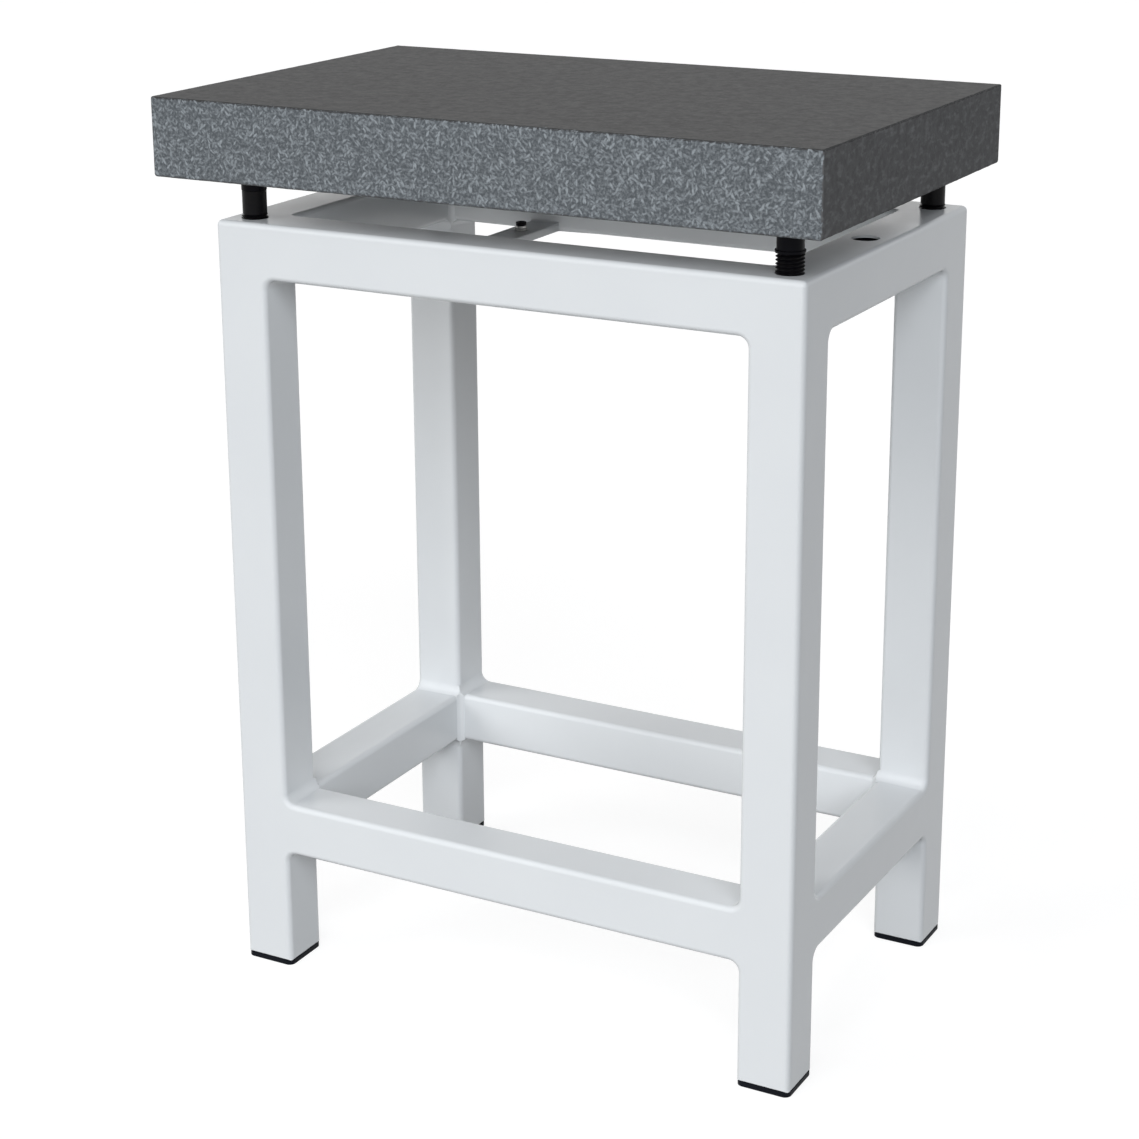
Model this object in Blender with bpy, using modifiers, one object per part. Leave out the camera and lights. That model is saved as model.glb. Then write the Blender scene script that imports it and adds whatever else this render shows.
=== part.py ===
"""Granite surface plate on a welded stand of square tube, carried by four levelling screws.

Metres, +Z up. The origin is on the floor under the middle of the plate. The long side of the
plate runs along X and its front faces -Y.
"""

import math

import bmesh
import bpy
from mathutils import Matrix, Vector

# Clearances and cutting
TOUCH_GAP = 0.0003  # between pieces that rest on each other or are welded together
TURN_GAP = 0.0003  # all round a screw in its bush
OVERRUN = 0.003  # how far a cutter runs past what it cuts
ROUND_STEPS = 32  # sides of a turned piece
MERGE_DISTANCE = 0.00001  # points closer than this become one

# Granite plate
PLATE_LENGTH = 0.630
PLATE_WIDTH = 0.400
PLATE_THICKNESS = 0.070
PLATE_CHAMFER = 0.0016
PLATE_CLEARANCE = 0.038  # from the top of the stand to the underside of the plate

# Stand, and how far the plate reaches past it on each side
STAND_HEIGHT = 0.712
OVERHANG_LEFT = 0.046
OVERHANG_RIGHT = 0.022
OVERHANG_FRONT = 0.024
OVERHANG_BACK = 0.012
STRETCHER_HEIGHT = 0.116  # from the floor to the underside of the stretchers

# Square tube of the legs, rails and stretchers
TUBE_SIDE = 0.050
TUBE_WALL = 0.002
TUBE_RADIUS = 0.005
TUBE_CORNER_STEPS = 4
LEG_TOP_WALL = 0.006  # the plate that closes the top of a leg

# Weld fillets in the corners between a leg and what is welded to it
FILLET_RADIUS = 0.008
FILLET_ROOT = 0.001  # how deep a fillet is sunk into the tube's wall
FILLET_STEPS = 5

# Foot caps
FOOT_THICKNESS = 0.003
FOOT_EDGE = 0.0008
PLUG_HEIGHT = 0.020
PLUG_WALL = 0.0025
PLUG_RIB_DEPTH = 0.0015
PLUG_RIB_HEIGHT = 0.0016
PLUG_RIB_COUNT = 3

# Levelling screws: a thread that turns in a bush, and a plain neck above it
THREAD_RADIUS = 0.0118
THREAD_CHAMFER = 0.001
SCREW_DEPTH = 0.034  # below the top of the stand
NECK_RADIUS = 0.0108
NECK_HEIGHT = 0.0245  # top of the neck, above the top of the stand
SHORT_THREAD_TOP = 0.0035  # thread that shows above the stand on three screws
LONG_THREAD_TOP = 0.0165  # and on the front right one
SOCKET_RADIUS = 0.005
SOCKET_DEPTH = 0.008

# Bearing caps on the screws
CAP_RADIUS = 0.0112
CAP_EDGE = 0.0008
CAP_BORE_GAP = 0.0003
CAP_LIP_RADIUS = 0.0124  # the lip under the front right cap, which is longer
CAP_LIP_HEIGHT = 0.0024
SPIGOT_RADIUS = 0.0065
SPIGOT_HEIGHT = 0.006

# Threaded bushes welded inside the tubes
BUSH_RADIUS = 0.017
BUSH_HEIGHT = 0.016
BUSH_CHAMFER = 0.001

# Cross bar between the front and back rails, and the screw that stands on it
BAR_WIDTH = 0.030
BAR_THICKNESS = 0.008
BAR_EDGE = 0.001
BAR_SHIFT_X = -0.125  # from the middle of the stand
BAR_SCREW_SHIFT_Y = 0.085
STUD_RADIUS = 0.003
STUD_HEAD_RADIUS = 0.005
STUD_HEAD_HEIGHT = 0.006
STUD_HEAD_EDGE = 0.0008
STUD_HEX_RADIUS = 0.0029
STUD_HEX_DEPTH = 0.003
STUD_TAIL = 0.0075  # below the cross bar
WASHER_RADIUS = 0.0065
WASHER_THICKNESS = 0.0016
NUT_RADIUS = 0.0058
NUT_HEIGHT = 0.005
HEX_SIDES = 6

# Places worked out from the sizes
TUBE_HALF = TUBE_SIDE / 2
STAND_LEFT = OVERHANG_LEFT - PLATE_LENGTH / 2
STAND_RIGHT = PLATE_LENGTH / 2 - OVERHANG_RIGHT
STAND_FRONT = OVERHANG_FRONT - PLATE_WIDTH / 2
STAND_BACK = PLATE_WIDTH / 2 - OVERHANG_BACK
STAND_MIDDLE_X = (STAND_LEFT + STAND_RIGHT) / 2
STAND_MIDDLE_Y = (STAND_FRONT + STAND_BACK) / 2
LEG_X = {"left": STAND_LEFT + TUBE_HALF, "right": STAND_RIGHT - TUBE_HALF}
LEG_Y = {"front": STAND_FRONT + TUBE_HALF, "back": STAND_BACK - TUBE_HALF}
LEG_BOTTOM = FOOT_THICKNESS + TOUCH_GAP
RAIL_BOTTOM = STAND_HEIGHT - TUBE_SIDE
PLATE_BOTTOM = STAND_HEIGHT + PLATE_CLEARANCE
BUSH_BORE = THREAD_RADIUS + TURN_GAP
CORNERS = [(depth, side) for depth in LEG_Y for side in LEG_X]
LONG_THREAD_CORNER = ("front", "right")

# Colours and finishes: base colour, roughness, metallic
FINISHES = {
    "granite": ((0.17, 0.18, 0.19), 0.55, 0.0),
    "white_paint": ((0.76, 0.79, 0.81), 0.42, 0.0),
    "black_plastic": ((0.02, 0.022, 0.026), 0.5, 0.0),
    "black_oxide": ((0.018, 0.018, 0.022), 0.4, 0.6),
    "zinc": ((0.55, 0.56, 0.56), 0.38, 1.0),
}


def clear_scene():
    for obj in list(bpy.data.objects):
        bpy.data.objects.remove(obj, do_unlink=True)


def new_collection(name):
    collection = bpy.data.collections.new(name)
    bpy.context.scene.collection.children.link(collection)
    return collection


def new_material(name):
    colour, roughness, metallic = FINISHES[name]
    material = bpy.data.materials.new(name)
    material.use_nodes = True
    shader = material.node_tree.nodes["Principled BSDF"]
    shader.inputs["Base Color"].default_value = (*colour, 1.0)
    shader.inputs["Roughness"].default_value = roughness
    shader.inputs["Metallic"].default_value = metallic
    material.diffuse_color = (*colour, 1.0)
    return material


def new_object(name, mesh, collection, place=(0, 0, 0)):
    obj = bpy.data.objects.new(name, mesh)
    obj.location = place
    collection.objects.link(obj)
    return obj


def finish(obj, material):
    obj.data.materials.clear()
    obj.data.materials.append(material)
    obj.data.shade_smooth()
    obj.data.set_sharp_from_angle(angle=math.radians(30))
    return obj


def make_cutter(obj):
    obj.hide_render = True
    obj.display_type = "WIRE"
    return obj


def boolean(obj, operation, other):
    modifier = obj.modifiers.new(f"{operation.lower()} {other.name}", "BOOLEAN")
    modifier.operation = operation
    modifier.solver = "EXACT"
    modifier.object = other


def cut(obj, *others):
    for other in others:
        boolean(obj, "DIFFERENCE", other)


def join(obj, *others):
    for other in others:
        boolean(obj, "UNION", other)


def box(name, low, high, collection, origin=(0, 0, 0)):
    """A box between two corners, which are measured from its origin."""
    low, high = Vector(low), Vector(high)
    bm = bmesh.new()
    bmesh.ops.create_cube(bm, size=1.0)
    bmesh.ops.scale(bm, vec=high - low, verts=bm.verts)
    bmesh.ops.translate(bm, vec=(low + high) / 2, verts=bm.verts)
    mesh = bpy.data.meshes.new(name)
    bm.to_mesh(mesh)
    bm.free()
    return new_object(name, mesh, collection, origin)


def round_edges(obj, radius, steps, chosen):
    """Rounds the edges for which chosen(middle, direction) is true."""
    bm = bmesh.new()
    bm.from_mesh(obj.data)
    edges = []
    for edge in bm.edges:
        start, end = (vertex.co for vertex in edge.verts)
        if chosen((start + end) / 2, (end - start).normalized()):
            edges.append(edge)
    bmesh.ops.bevel(
        bm, geom=edges, offset=radius, segments=steps, profile=0.5, affect="EDGES"
    )
    bm.to_mesh(obj.data)
    bm.free()
    return obj


def along(axis):
    """Chooses the edges that run along one axis."""
    return lambda middle, direction: abs(direction[axis]) > 0.5


def square_bar(name, low, high, axis, radius, collection, origin=(0, 0, 0)):
    """A bar of square section with rounded long edges."""
    bar = box(name, low, high, collection, origin)
    return round_edges(bar, radius, TUBE_CORNER_STEPS, along(axis))


def turned(name, profile, collection, origin=(0, 0, 0), closed=False):
    """A turned piece. The profile holds (radius, height) pairs, down the outer side."""
    mesh = bpy.data.meshes.new(name)
    points = [(radius, 0, height) for radius, height in profile]
    edges = [(i, i + 1) for i in range(len(points) - 1)]
    if closed:
        edges.append((len(points) - 1, 0))
    mesh.from_pydata(points, edges, [])
    obj = new_object(name, mesh, collection, origin)
    screw = obj.modifiers.new("turn", "SCREW")
    screw.steps = screw.render_steps = ROUND_STEPS
    screw.use_merge_vertices = True
    screw.merge_threshold = MERGE_DISTANCE
    screw.use_smooth_shade = True
    return obj


def plain_cylinder(name, radius, low, high, sides, collection, origin=(0, 0, 0)):
    bm = bmesh.new()
    bmesh.ops.create_cone(
        bm, cap_ends=True, segments=sides, radius1=radius, radius2=radius, depth=high - low
    )
    bmesh.ops.translate(bm, vec=(0, 0, (low + high) / 2), verts=bm.verts)
    mesh = bpy.data.meshes.new(name)
    bm.to_mesh(mesh)
    bm.free()
    return new_object(name, mesh, collection, origin)


def fillet_mesh():
    """The concave fillet of one weld: x runs out from the leg and y into the other tube."""
    arc = []
    for step in range(FILLET_STEPS + 1):
        angle = math.radians(90) * (1 + step / FILLET_STEPS)
        arc.append(
            (
                FILLET_RADIUS * (1 + math.cos(angle)),
                FILLET_RADIUS * (math.sin(angle) - 1),
            )
        )
    outline = [
        (-OVERRUN, -FILLET_RADIUS),
        (-OVERRUN, FILLET_ROOT),
        (FILLET_RADIUS, FILLET_ROOT),
        *arc,
    ]
    curve = bpy.data.curves.new("fillet", "CURVE")
    curve.dimensions = "2D"
    curve.fill_mode = "BOTH"
    curve.extrude = TUBE_HALF - TUBE_RADIUS
    spline = curve.splines.new("POLY")
    spline.points.add(len(outline) - 1)
    for point, (x, y) in zip(spline.points, outline):
        point.co = (x, y, 0, 1)
    spline.use_cyclic_u = True
    source = bpy.data.objects.new("fillet", curve)
    bpy.context.scene.collection.objects.link(source)
    graph = bpy.context.evaluated_depsgraph_get()
    mesh = bpy.data.meshes.new_from_object(source.evaluated_get(graph))
    bpy.data.objects.remove(source, do_unlink=True)
    bm = bmesh.new()
    bm.from_mesh(mesh)
    bmesh.ops.remove_doubles(bm, verts=bm.verts, dist=MERGE_DISTANCE)
    bmesh.ops.recalc_face_normals(bm, faces=bm.faces)
    bm.to_mesh(mesh)
    bm.free()
    return mesh


def turned_frame(out, into, place):
    """The matrix that turns x towards out and y towards into, at a place."""
    out, into = Vector(out), Vector(into)
    columns = Matrix((out, into, out.cross(into))).transposed()
    return Matrix.Translation(place) @ columns.to_4x4()


def make_plate(parts, material):
    half = Vector((PLATE_LENGTH / 2, PLATE_WIDTH / 2, 0))
    plate = box(
        "granite_plate",
        -half,
        half + Vector((0, 0, PLATE_THICKNESS)),
        parts,
        (0, 0, PLATE_BOTTOM),
    )
    bevel = plate.modifiers.new("chamfer", "BEVEL")
    bevel.width = PLATE_CHAMFER
    bevel.segments = 2
    return finish(plate, material)


def leg_box(grow):
    """The corners of a leg's outside, in x and y, measured from the middle of the leg."""
    reach = TUBE_HALF + grow
    return Vector((-reach, -reach, 0)), Vector((reach, reach, 0))


def outward(depth, side):
    """The way out from the middle of the stand at one of its corners."""
    return Vector((-1 if side == "left" else 1, -1 if depth == "front" else 1, 0))


def leg_place(depth, side, height=0):
    return Vector((LEG_X[side], LEG_Y[depth], height))


def make_leg(depth, side, parts, cutters, material):
    """A leg: tube with a closed top, open at the bottom for its foot cap."""
    name = f"leg_{depth}_{side}"
    low, high = leg_box(0)
    low.z, high.z = LEG_BOTTOM, STAND_HEIGHT
    leg = box(name, low, high, parts, leg_place(depth, side))
    out = outward(depth, side)

    def outer_edges(middle, direction):
        on_top = middle.z > STAND_HEIGHT - TOUCH_GAP
        return abs(direction.z) > 0.5 or (on_top and middle.dot(out) > 0)

    round_edges(leg, TUBE_RADIUS, TUBE_CORNER_STEPS, outer_edges)
    low, high = leg_box(-TUBE_WALL)
    low.z, high.z = LEG_BOTTOM - OVERRUN, STAND_HEIGHT - LEG_TOP_WALL
    bore = square_bar(
        f"{name}_bore",
        low,
        high,
        2,
        TUBE_RADIUS - TUBE_WALL,
        cutters,
        leg_place(depth, side),
    )
    hole = plain_cylinder(
        f"{name}_hole",
        BUSH_BORE,
        -LEG_TOP_WALL - OVERRUN,
        OVERRUN,
        ROUND_STEPS,
        cutters,
        leg_place(depth, side, STAND_HEIGHT),
    )
    cut(leg, make_cutter(bore), make_cutter(hole))
    return finish(leg, material)


def make_leg_envelopes(cutters):
    """The legs' outsides with a gap round them, which cope the tubes' ends.

    The edge between two tubes stays square, so that their ends don't meet there.
    """
    envelopes = {}
    for depth, side in CORNERS:
        low, high = leg_box(TOUCH_GAP)
        low.z, high.z = -OVERRUN, STAND_HEIGHT + OVERRUN
        name = f"envelope_{depth}_{side}"
        envelope = box(name, low, high, cutters, leg_place(depth, side))
        out = outward(depth, side)

        def outer_edges(middle, direction, out=out):
            between_tubes = middle.x * out.x < 0 and middle.y * out.y < 0
            return abs(direction.z) > 0.5 and not between_tubes

        radius = TUBE_RADIUS + TOUCH_GAP
        round_edges(envelope, radius, TUBE_CORNER_STEPS, outer_edges)
        envelopes[depth, side] = make_cutter(envelope)
    return envelopes


def tube_span(where):
    """Ends, middle line and axis of the tube on one side of the stand."""
    if where in LEG_Y:
        start = Vector((STAND_LEFT + TUBE_SIDE, LEG_Y[where], 0))
        end = Vector((STAND_RIGHT - TUBE_SIDE, LEG_Y[where], 0))
        return start, end, 0, [(where, side) for side in LEG_X]
    start = Vector((LEG_X[where], STAND_FRONT + TUBE_SIDE, 0))
    end = Vector((LEG_X[where], STAND_BACK - TUBE_SIDE, 0))
    return start, end, 1, [(depth, where) for depth in LEG_Y]


def make_tube(name, where, bottom, fillets_on, envelopes, fillet, parts, cutters, material):
    """A tube between two legs, coped round them, with a weld fillet in each corner."""
    start, end, axis, corners = tube_span(where)
    middle = (start + end) / 2 + Vector((0, 0, bottom + TUBE_HALF))
    half_length = (end - start).length / 2
    reach = Vector((TUBE_HALF, TUBE_HALF, TUBE_HALF))
    reach[axis] = half_length + TUBE_RADIUS
    tube = square_bar(name, -reach, reach, axis, TUBE_RADIUS, parts, middle)
    out = (end - start).normalized()
    for way in (1, -1):
        for face in fillets_on:
            corner = middle - out * way * (half_length - TOUCH_GAP)
            corner.z = middle.z + face * TUBE_HALF
            weld = new_object(f"{name}_fillet_{way}_{face}", fillet, cutters)
            weld.matrix_world = turned_frame(out * way, (0, 0, -face), corner)
            join(tube, make_cutter(weld))
    hollow = Vector([TUBE_HALF - TUBE_WALL] * 3)
    hollow[axis] = reach[axis] + OVERRUN
    bore = square_bar(
        f"{name}_bore", -hollow, hollow, axis, TUBE_RADIUS - TUBE_WALL, cutters, middle
    )
    cut(tube, make_cutter(bore), *(envelopes[corner] for corner in corners))
    return finish(tube, material)


def make_cross_bar(parts, cutters, material):
    """A flat bar between the front and back rails, level with their undersides."""
    half_length = (STAND_BACK - STAND_FRONT) / 2 - TUBE_SIDE - TOUCH_GAP
    place = Vector((STAND_MIDDLE_X + BAR_SHIFT_X, STAND_MIDDLE_Y, RAIL_BOTTOM))
    half = Vector((BAR_WIDTH / 2, half_length, 0))
    bar = box(
        "cross_bar", -half, half + Vector((0, 0, BAR_THICKNESS)), parts, place
    )
    round_edges(bar, BAR_EDGE, 2, along(1))
    hole = plain_cylinder(
        "cross_bar_hole",
        STUD_RADIUS + TURN_GAP,
        -OVERRUN,
        BAR_THICKNESS + OVERRUN,
        ROUND_STEPS,
        cutters,
        place + Vector((0, BAR_SCREW_SHIFT_Y, 0)),
    )
    cut(bar, make_cutter(hole))
    return finish(bar, material)


def make_foot_cap(depth, side, parts, cutters, material):
    """A plastic cap: a sole as wide as the tube, and a ribbed plug that fills its mouth."""
    name = f"foot_cap_{depth}_{side}"
    place = leg_place(depth, side)
    low, high = leg_box(0)
    high.z = FOOT_THICKNESS
    sole = box(name, low, high, parts, place)

    def lower_edges(middle, direction):
        return abs(direction.z) < 0.5 and middle.z < FOOT_THICKNESS / 2

    round_edges(sole, TUBE_RADIUS, TUBE_CORNER_STEPS, along(2))
    round_edges(sole, FOOT_EDGE, 2, lower_edges)
    inside = TUBE_HALF - TUBE_WALL - TOUCH_GAP
    core = inside - PLUG_RIB_DEPTH
    plug = square_bar(
        f"{name}_plug",
        (-core, -core, FOOT_THICKNESS / 2),
        (core, core, FOOT_THICKNESS + PLUG_HEIGHT),
        2,
        TUBE_RADIUS - TUBE_WALL,
        cutters,
        place,
    )
    join(sole, make_cutter(plug))
    spacing = PLUG_HEIGHT / (PLUG_RIB_COUNT + 1)
    for number in range(1, PLUG_RIB_COUNT + 1):
        middle = FOOT_THICKNESS + number * spacing
        rib = square_bar(
            f"{name}_rib_{number}",
            (-inside, -inside, middle - PLUG_RIB_HEIGHT / 2),
            (inside, inside, middle + PLUG_RIB_HEIGHT / 2),
            2,
            TUBE_RADIUS - TUBE_WALL,
            cutters,
            place,
        )
        join(sole, make_cutter(rib))
    open_half = core - PLUG_WALL
    hollow = box(
        f"{name}_hollow",
        (-open_half, -open_half, FOOT_THICKNESS),
        (open_half, open_half, FOOT_THICKNESS + PLUG_HEIGHT + OVERRUN),
        cutters,
        place,
    )
    cut(sole, make_cutter(hollow))
    return finish(sole, material)


def make_bush(name, place, top_wall, parts, material):
    """A threaded bush welded under the top wall of a tube."""
    top = -top_wall - TOUCH_GAP
    bottom = top - BUSH_HEIGHT
    profile = [
        (BUSH_BORE, top),
        (BUSH_RADIUS - BUSH_CHAMFER, top),
        (BUSH_RADIUS, top - BUSH_CHAMFER),
        (BUSH_RADIUS, bottom + BUSH_CHAMFER),
        (BUSH_RADIUS - BUSH_CHAMFER, bottom),
        (BUSH_BORE, bottom),
    ]
    bush = turned(name, profile, parts, place, closed=True)
    return finish(bush, material)


def make_screw(depth, side, parts, cutters, material):
    """A levelling screw, turning about the upright axis through its origin."""
    long_thread = (depth, side) == LONG_THREAD_CORNER
    thread_top = LONG_THREAD_TOP if long_thread else SHORT_THREAD_TOP
    neck_top = thread_top if long_thread else NECK_HEIGHT
    neck = [] if long_thread else [(NECK_RADIUS, neck_top), (NECK_RADIUS, thread_top)]
    profile = [
        (0, neck_top + SPIGOT_HEIGHT),
        (SPIGOT_RADIUS, neck_top + SPIGOT_HEIGHT),
        (SPIGOT_RADIUS, neck_top),
        *neck,
        (THREAD_RADIUS - THREAD_CHAMFER / 2, thread_top),
        (THREAD_RADIUS, thread_top - THREAD_CHAMFER / 2),
        (THREAD_RADIUS, THREAD_CHAMFER - SCREW_DEPTH),
        (THREAD_RADIUS - THREAD_CHAMFER, -SCREW_DEPTH),
        (0, -SCREW_DEPTH),
    ]
    name = f"levelling_screw_{depth}_{side}"
    place = leg_place(depth, side, STAND_HEIGHT)
    screw = turned(name, profile, parts, place)
    socket = plain_cylinder(
        f"{name}_socket",
        SOCKET_RADIUS,
        -SCREW_DEPTH - OVERRUN,
        SOCKET_DEPTH - SCREW_DEPTH,
        HEX_SIDES,
        cutters,
        place,
    )
    cut(screw, make_cutter(socket))
    return finish(screw, material), neck_top


def make_bearing_cap(depth, side, neck_top, parts, material):
    """The cap that the screw turns in and the granite rests on; it moves up and down only."""
    long_thread = (depth, side) == LONG_THREAD_CORNER
    top = PLATE_CLEARANCE - TOUCH_GAP
    bottom = neck_top + TOUCH_GAP
    roof = neck_top + SPIGOT_HEIGHT + TOUCH_GAP
    bore = SPIGOT_RADIUS + CAP_BORE_GAP
    lip = [(CAP_RADIUS, bottom + CAP_EDGE), (CAP_RADIUS - CAP_EDGE, bottom)]
    if long_thread:
        lip = [
            (CAP_RADIUS, bottom + CAP_LIP_HEIGHT),
            (CAP_LIP_RADIUS, bottom + CAP_LIP_HEIGHT - CAP_EDGE),
            (CAP_LIP_RADIUS, bottom + CAP_EDGE),
            (CAP_LIP_RADIUS - CAP_EDGE, bottom),
        ]
    profile = [
        (0, top),
        (CAP_RADIUS - CAP_EDGE, top),
        (CAP_RADIUS, top - CAP_EDGE),
        *lip,
        (bore, bottom),
        (bore, roof),
        (0, roof),
    ]
    place = leg_place(depth, side, STAND_HEIGHT)
    cap = turned(f"bearing_cap_{depth}_{side}", profile, parts, place)
    return finish(cap, material)


def make_bar_screw(parts, cutters, materials):
    """The socket-head screw on the cross bar, with its washer and the nut under the bar."""
    place = Vector(
        (STAND_MIDDLE_X + BAR_SHIFT_X, STAND_MIDDLE_Y + BAR_SCREW_SHIFT_Y, RAIL_BOTTOM)
    )
    washer_low = BAR_THICKNESS + TOUCH_GAP
    washer_high = washer_low + WASHER_THICKNESS
    head_low = washer_high + TOUCH_GAP
    head_high = head_low + STUD_HEAD_HEIGHT
    profile = [
        (0, head_high),
        (STUD_HEAD_RADIUS - STUD_HEAD_EDGE, head_high),
        (STUD_HEAD_RADIUS, head_high - STUD_HEAD_EDGE),
        (STUD_HEAD_RADIUS, head_low),
        (STUD_RADIUS, head_low),
        (STUD_RADIUS, -STUD_TAIL),
        (0, -STUD_TAIL),
    ]
    screw = turned("bar_screw", profile, parts, place)
    socket = plain_cylinder(
        "bar_screw_socket",
        STUD_HEX_RADIUS,
        head_high - STUD_HEX_DEPTH,
        head_high + OVERRUN,
        HEX_SIDES,
        cutters,
        place,
    )
    cut(screw, make_cutter(socket))
    finish(screw, materials["black_oxide"])
    hole = STUD_RADIUS + TURN_GAP
    washer_profile = [
        (hole, washer_high),
        (WASHER_RADIUS, washer_high),
        (WASHER_RADIUS, washer_low),
        (hole, washer_low),
    ]
    washer = turned("bar_washer", washer_profile, parts, place, closed=True)
    finish(washer, materials["zinc"])
    nut_high = -TOUCH_GAP
    nut = plain_cylinder(
        "bar_nut", NUT_RADIUS, nut_high - NUT_HEIGHT, nut_high, HEX_SIDES, parts, place
    )
    nut_bore = plain_cylinder(
        "bar_nut_bore",
        hole,
        nut_high - NUT_HEIGHT - OVERRUN,
        nut_high + OVERRUN,
        ROUND_STEPS,
        cutters,
        place,
    )
    cut(nut, make_cutter(nut_bore))
    finish(nut, materials["zinc"])


def make_spare_hole(rail, parts, cutters, material):
    """The unused threaded hole halfway along the right rail, with its bush inside."""
    place = Vector((LEG_X["right"], STAND_MIDDLE_Y, STAND_HEIGHT))
    hole = plain_cylinder(
        "spare_hole",
        BUSH_BORE,
        -TUBE_WALL - OVERRUN,
        OVERRUN,
        ROUND_STEPS,
        cutters,
        place,
    )
    cut(rail, make_cutter(hole))
    make_bush("bush_spare", place, TUBE_WALL, parts, material)


def keep_place(child, parent):
    child.parent = parent
    child.matrix_parent_inverse = parent.matrix_world.inverted()


def build():
    clear_scene()
    parts = new_collection("granite_surface_plate_with_stand")
    cutters = new_collection("cutters")
    cutters.hide_render = True
    materials = {name: new_material(name) for name in FINISHES}
    paint = materials["white_paint"]
    envelopes = make_leg_envelopes(cutters)
    fillet = fillet_mesh()

    make_plate(parts, materials["granite"])
    tubes = {}
    for where in (*LEG_Y, *LEG_X):
        for name, bottom, faces in (
            (f"top_rail_{where}", RAIL_BOTTOM, (-1,)),
            (f"stretcher_{where}", STRETCHER_HEIGHT, (-1, 1)),
        ):
            tubes[name] = make_tube(
                name, where, bottom, faces, envelopes, fillet, parts, cutters, paint
            )
    make_spare_hole(tubes["top_rail_right"], parts, cutters, materials["zinc"])
    make_cross_bar(parts, cutters, paint)
    make_bar_screw(parts, cutters, materials)

    for depth, side in CORNERS:
        make_leg(depth, side, parts, cutters, paint)
        make_foot_cap(depth, side, parts, cutters, materials["black_plastic"])
        place = leg_place(depth, side, STAND_HEIGHT)
        make_bush(
            f"bush_{depth}_{side}", place, LEG_TOP_WALL, parts, materials["zinc"]
        )
        screw, neck_top = make_screw(
            depth, side, parts, cutters, materials["black_oxide"]
        )
        cap = make_bearing_cap(
            depth, side, neck_top, parts, materials["black_plastic"]
        )
        bpy.context.view_layer.update()
        keep_place(screw, cap)


build()
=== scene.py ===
"""Looks of the granite surface plate and its welded stand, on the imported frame. Metres, +Z up."""

import itertools
import math

import bmesh
import bpy
from mathutils import Matrix, Vector, noise

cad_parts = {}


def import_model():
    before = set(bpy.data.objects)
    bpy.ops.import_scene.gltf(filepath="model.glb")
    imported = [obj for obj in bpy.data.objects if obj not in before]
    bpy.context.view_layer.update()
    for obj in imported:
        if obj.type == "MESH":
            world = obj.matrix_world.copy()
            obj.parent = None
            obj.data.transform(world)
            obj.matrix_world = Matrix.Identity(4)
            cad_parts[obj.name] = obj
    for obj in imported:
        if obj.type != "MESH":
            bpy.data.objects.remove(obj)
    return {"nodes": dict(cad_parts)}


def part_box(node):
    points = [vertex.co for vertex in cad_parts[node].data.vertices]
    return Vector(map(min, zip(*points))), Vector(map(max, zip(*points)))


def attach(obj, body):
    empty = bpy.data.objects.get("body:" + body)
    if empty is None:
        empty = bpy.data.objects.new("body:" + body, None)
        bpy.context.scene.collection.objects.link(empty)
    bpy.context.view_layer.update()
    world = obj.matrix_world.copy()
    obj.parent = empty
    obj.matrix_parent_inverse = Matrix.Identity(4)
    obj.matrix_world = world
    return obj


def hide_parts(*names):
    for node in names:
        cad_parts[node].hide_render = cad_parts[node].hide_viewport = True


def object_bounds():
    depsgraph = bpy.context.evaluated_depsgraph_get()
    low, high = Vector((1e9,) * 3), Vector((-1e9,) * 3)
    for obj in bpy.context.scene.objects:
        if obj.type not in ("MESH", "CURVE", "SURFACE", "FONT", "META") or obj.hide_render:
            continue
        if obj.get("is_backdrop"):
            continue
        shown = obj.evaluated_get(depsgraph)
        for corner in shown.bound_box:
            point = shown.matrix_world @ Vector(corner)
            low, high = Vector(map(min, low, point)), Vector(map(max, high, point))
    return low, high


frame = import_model()
CAD_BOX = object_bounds()

DEPTHS = ("front", "back")
SIDES = ("left", "right")
CORNERS = [(depth, side) for depth in DEPTHS for side in SIDES]
LONG_THREAD_CORNER = ("front", "right")

# Camera, in the frame of the photograph, which is 1139 pixels square; its angles are in radians
PHOTO_SIZE = 1139
CAMERA_FOCAL_PIXELS = 2522.8
CAMERA_PLACE = (1.0472, -1.9423, 1.1285)
CAMERA_YAW = 0.4996
CAMERA_PITCH = -0.2894
CAMERA_ROLL = -0.0051
CAMERA_SHIFT_Y = -0.085
CAMERA_NEAR = 0.05
CAMERA_FAR = 60.0
SENSOR_MILLIMETRES = 36.0

# Suns: name, degrees round from the front to the right, degrees up, degrees wide, strength, colour
SUNS = (
    ("front_left", -50, 30, 36, 1.27, (1.0, 1.0, 1.0)),
    ("front_right", 40, 30, 36, 1.40, (0.965, 1.0, 1.045)),
    ("rear", 180, 4, 10, 2.30, (1.0, 1.0, 1.0)),
)
SUN_DISTANCE = 3.0
SOFT_BOX_LEVEL = 1.22
SOFT_BOX_SIZE = 1.2
SOFT_BOX_PLACE = (0.12, -2.0, 0.78)
SOFT_BOX_TARGET = (0.0, 0.0, 0.45)

# World: how strong its light is, and between which parts of a direction it sets in
SKY_LEVEL = 0.12
SKY_RANGE = (0.1, 0.7)
REAR_LEVEL = 0.17
REAR_RANGE = (0.0, 0.6)

# Floor: what it sends back to the object, and what it shows
FLOOR_RADIUS = 9.0
FLOOR_SIDES = 96
FLOOR_BOUNCE = 0.18
FLOOR_SHOWN = 0.30
FLOOR_GLOW = 0.82

# Shading, in degrees: a sharper edge than this stays sharp
SHARP_ANGLE = 50
TURNED_SHARP_ANGLE = 40

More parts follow.
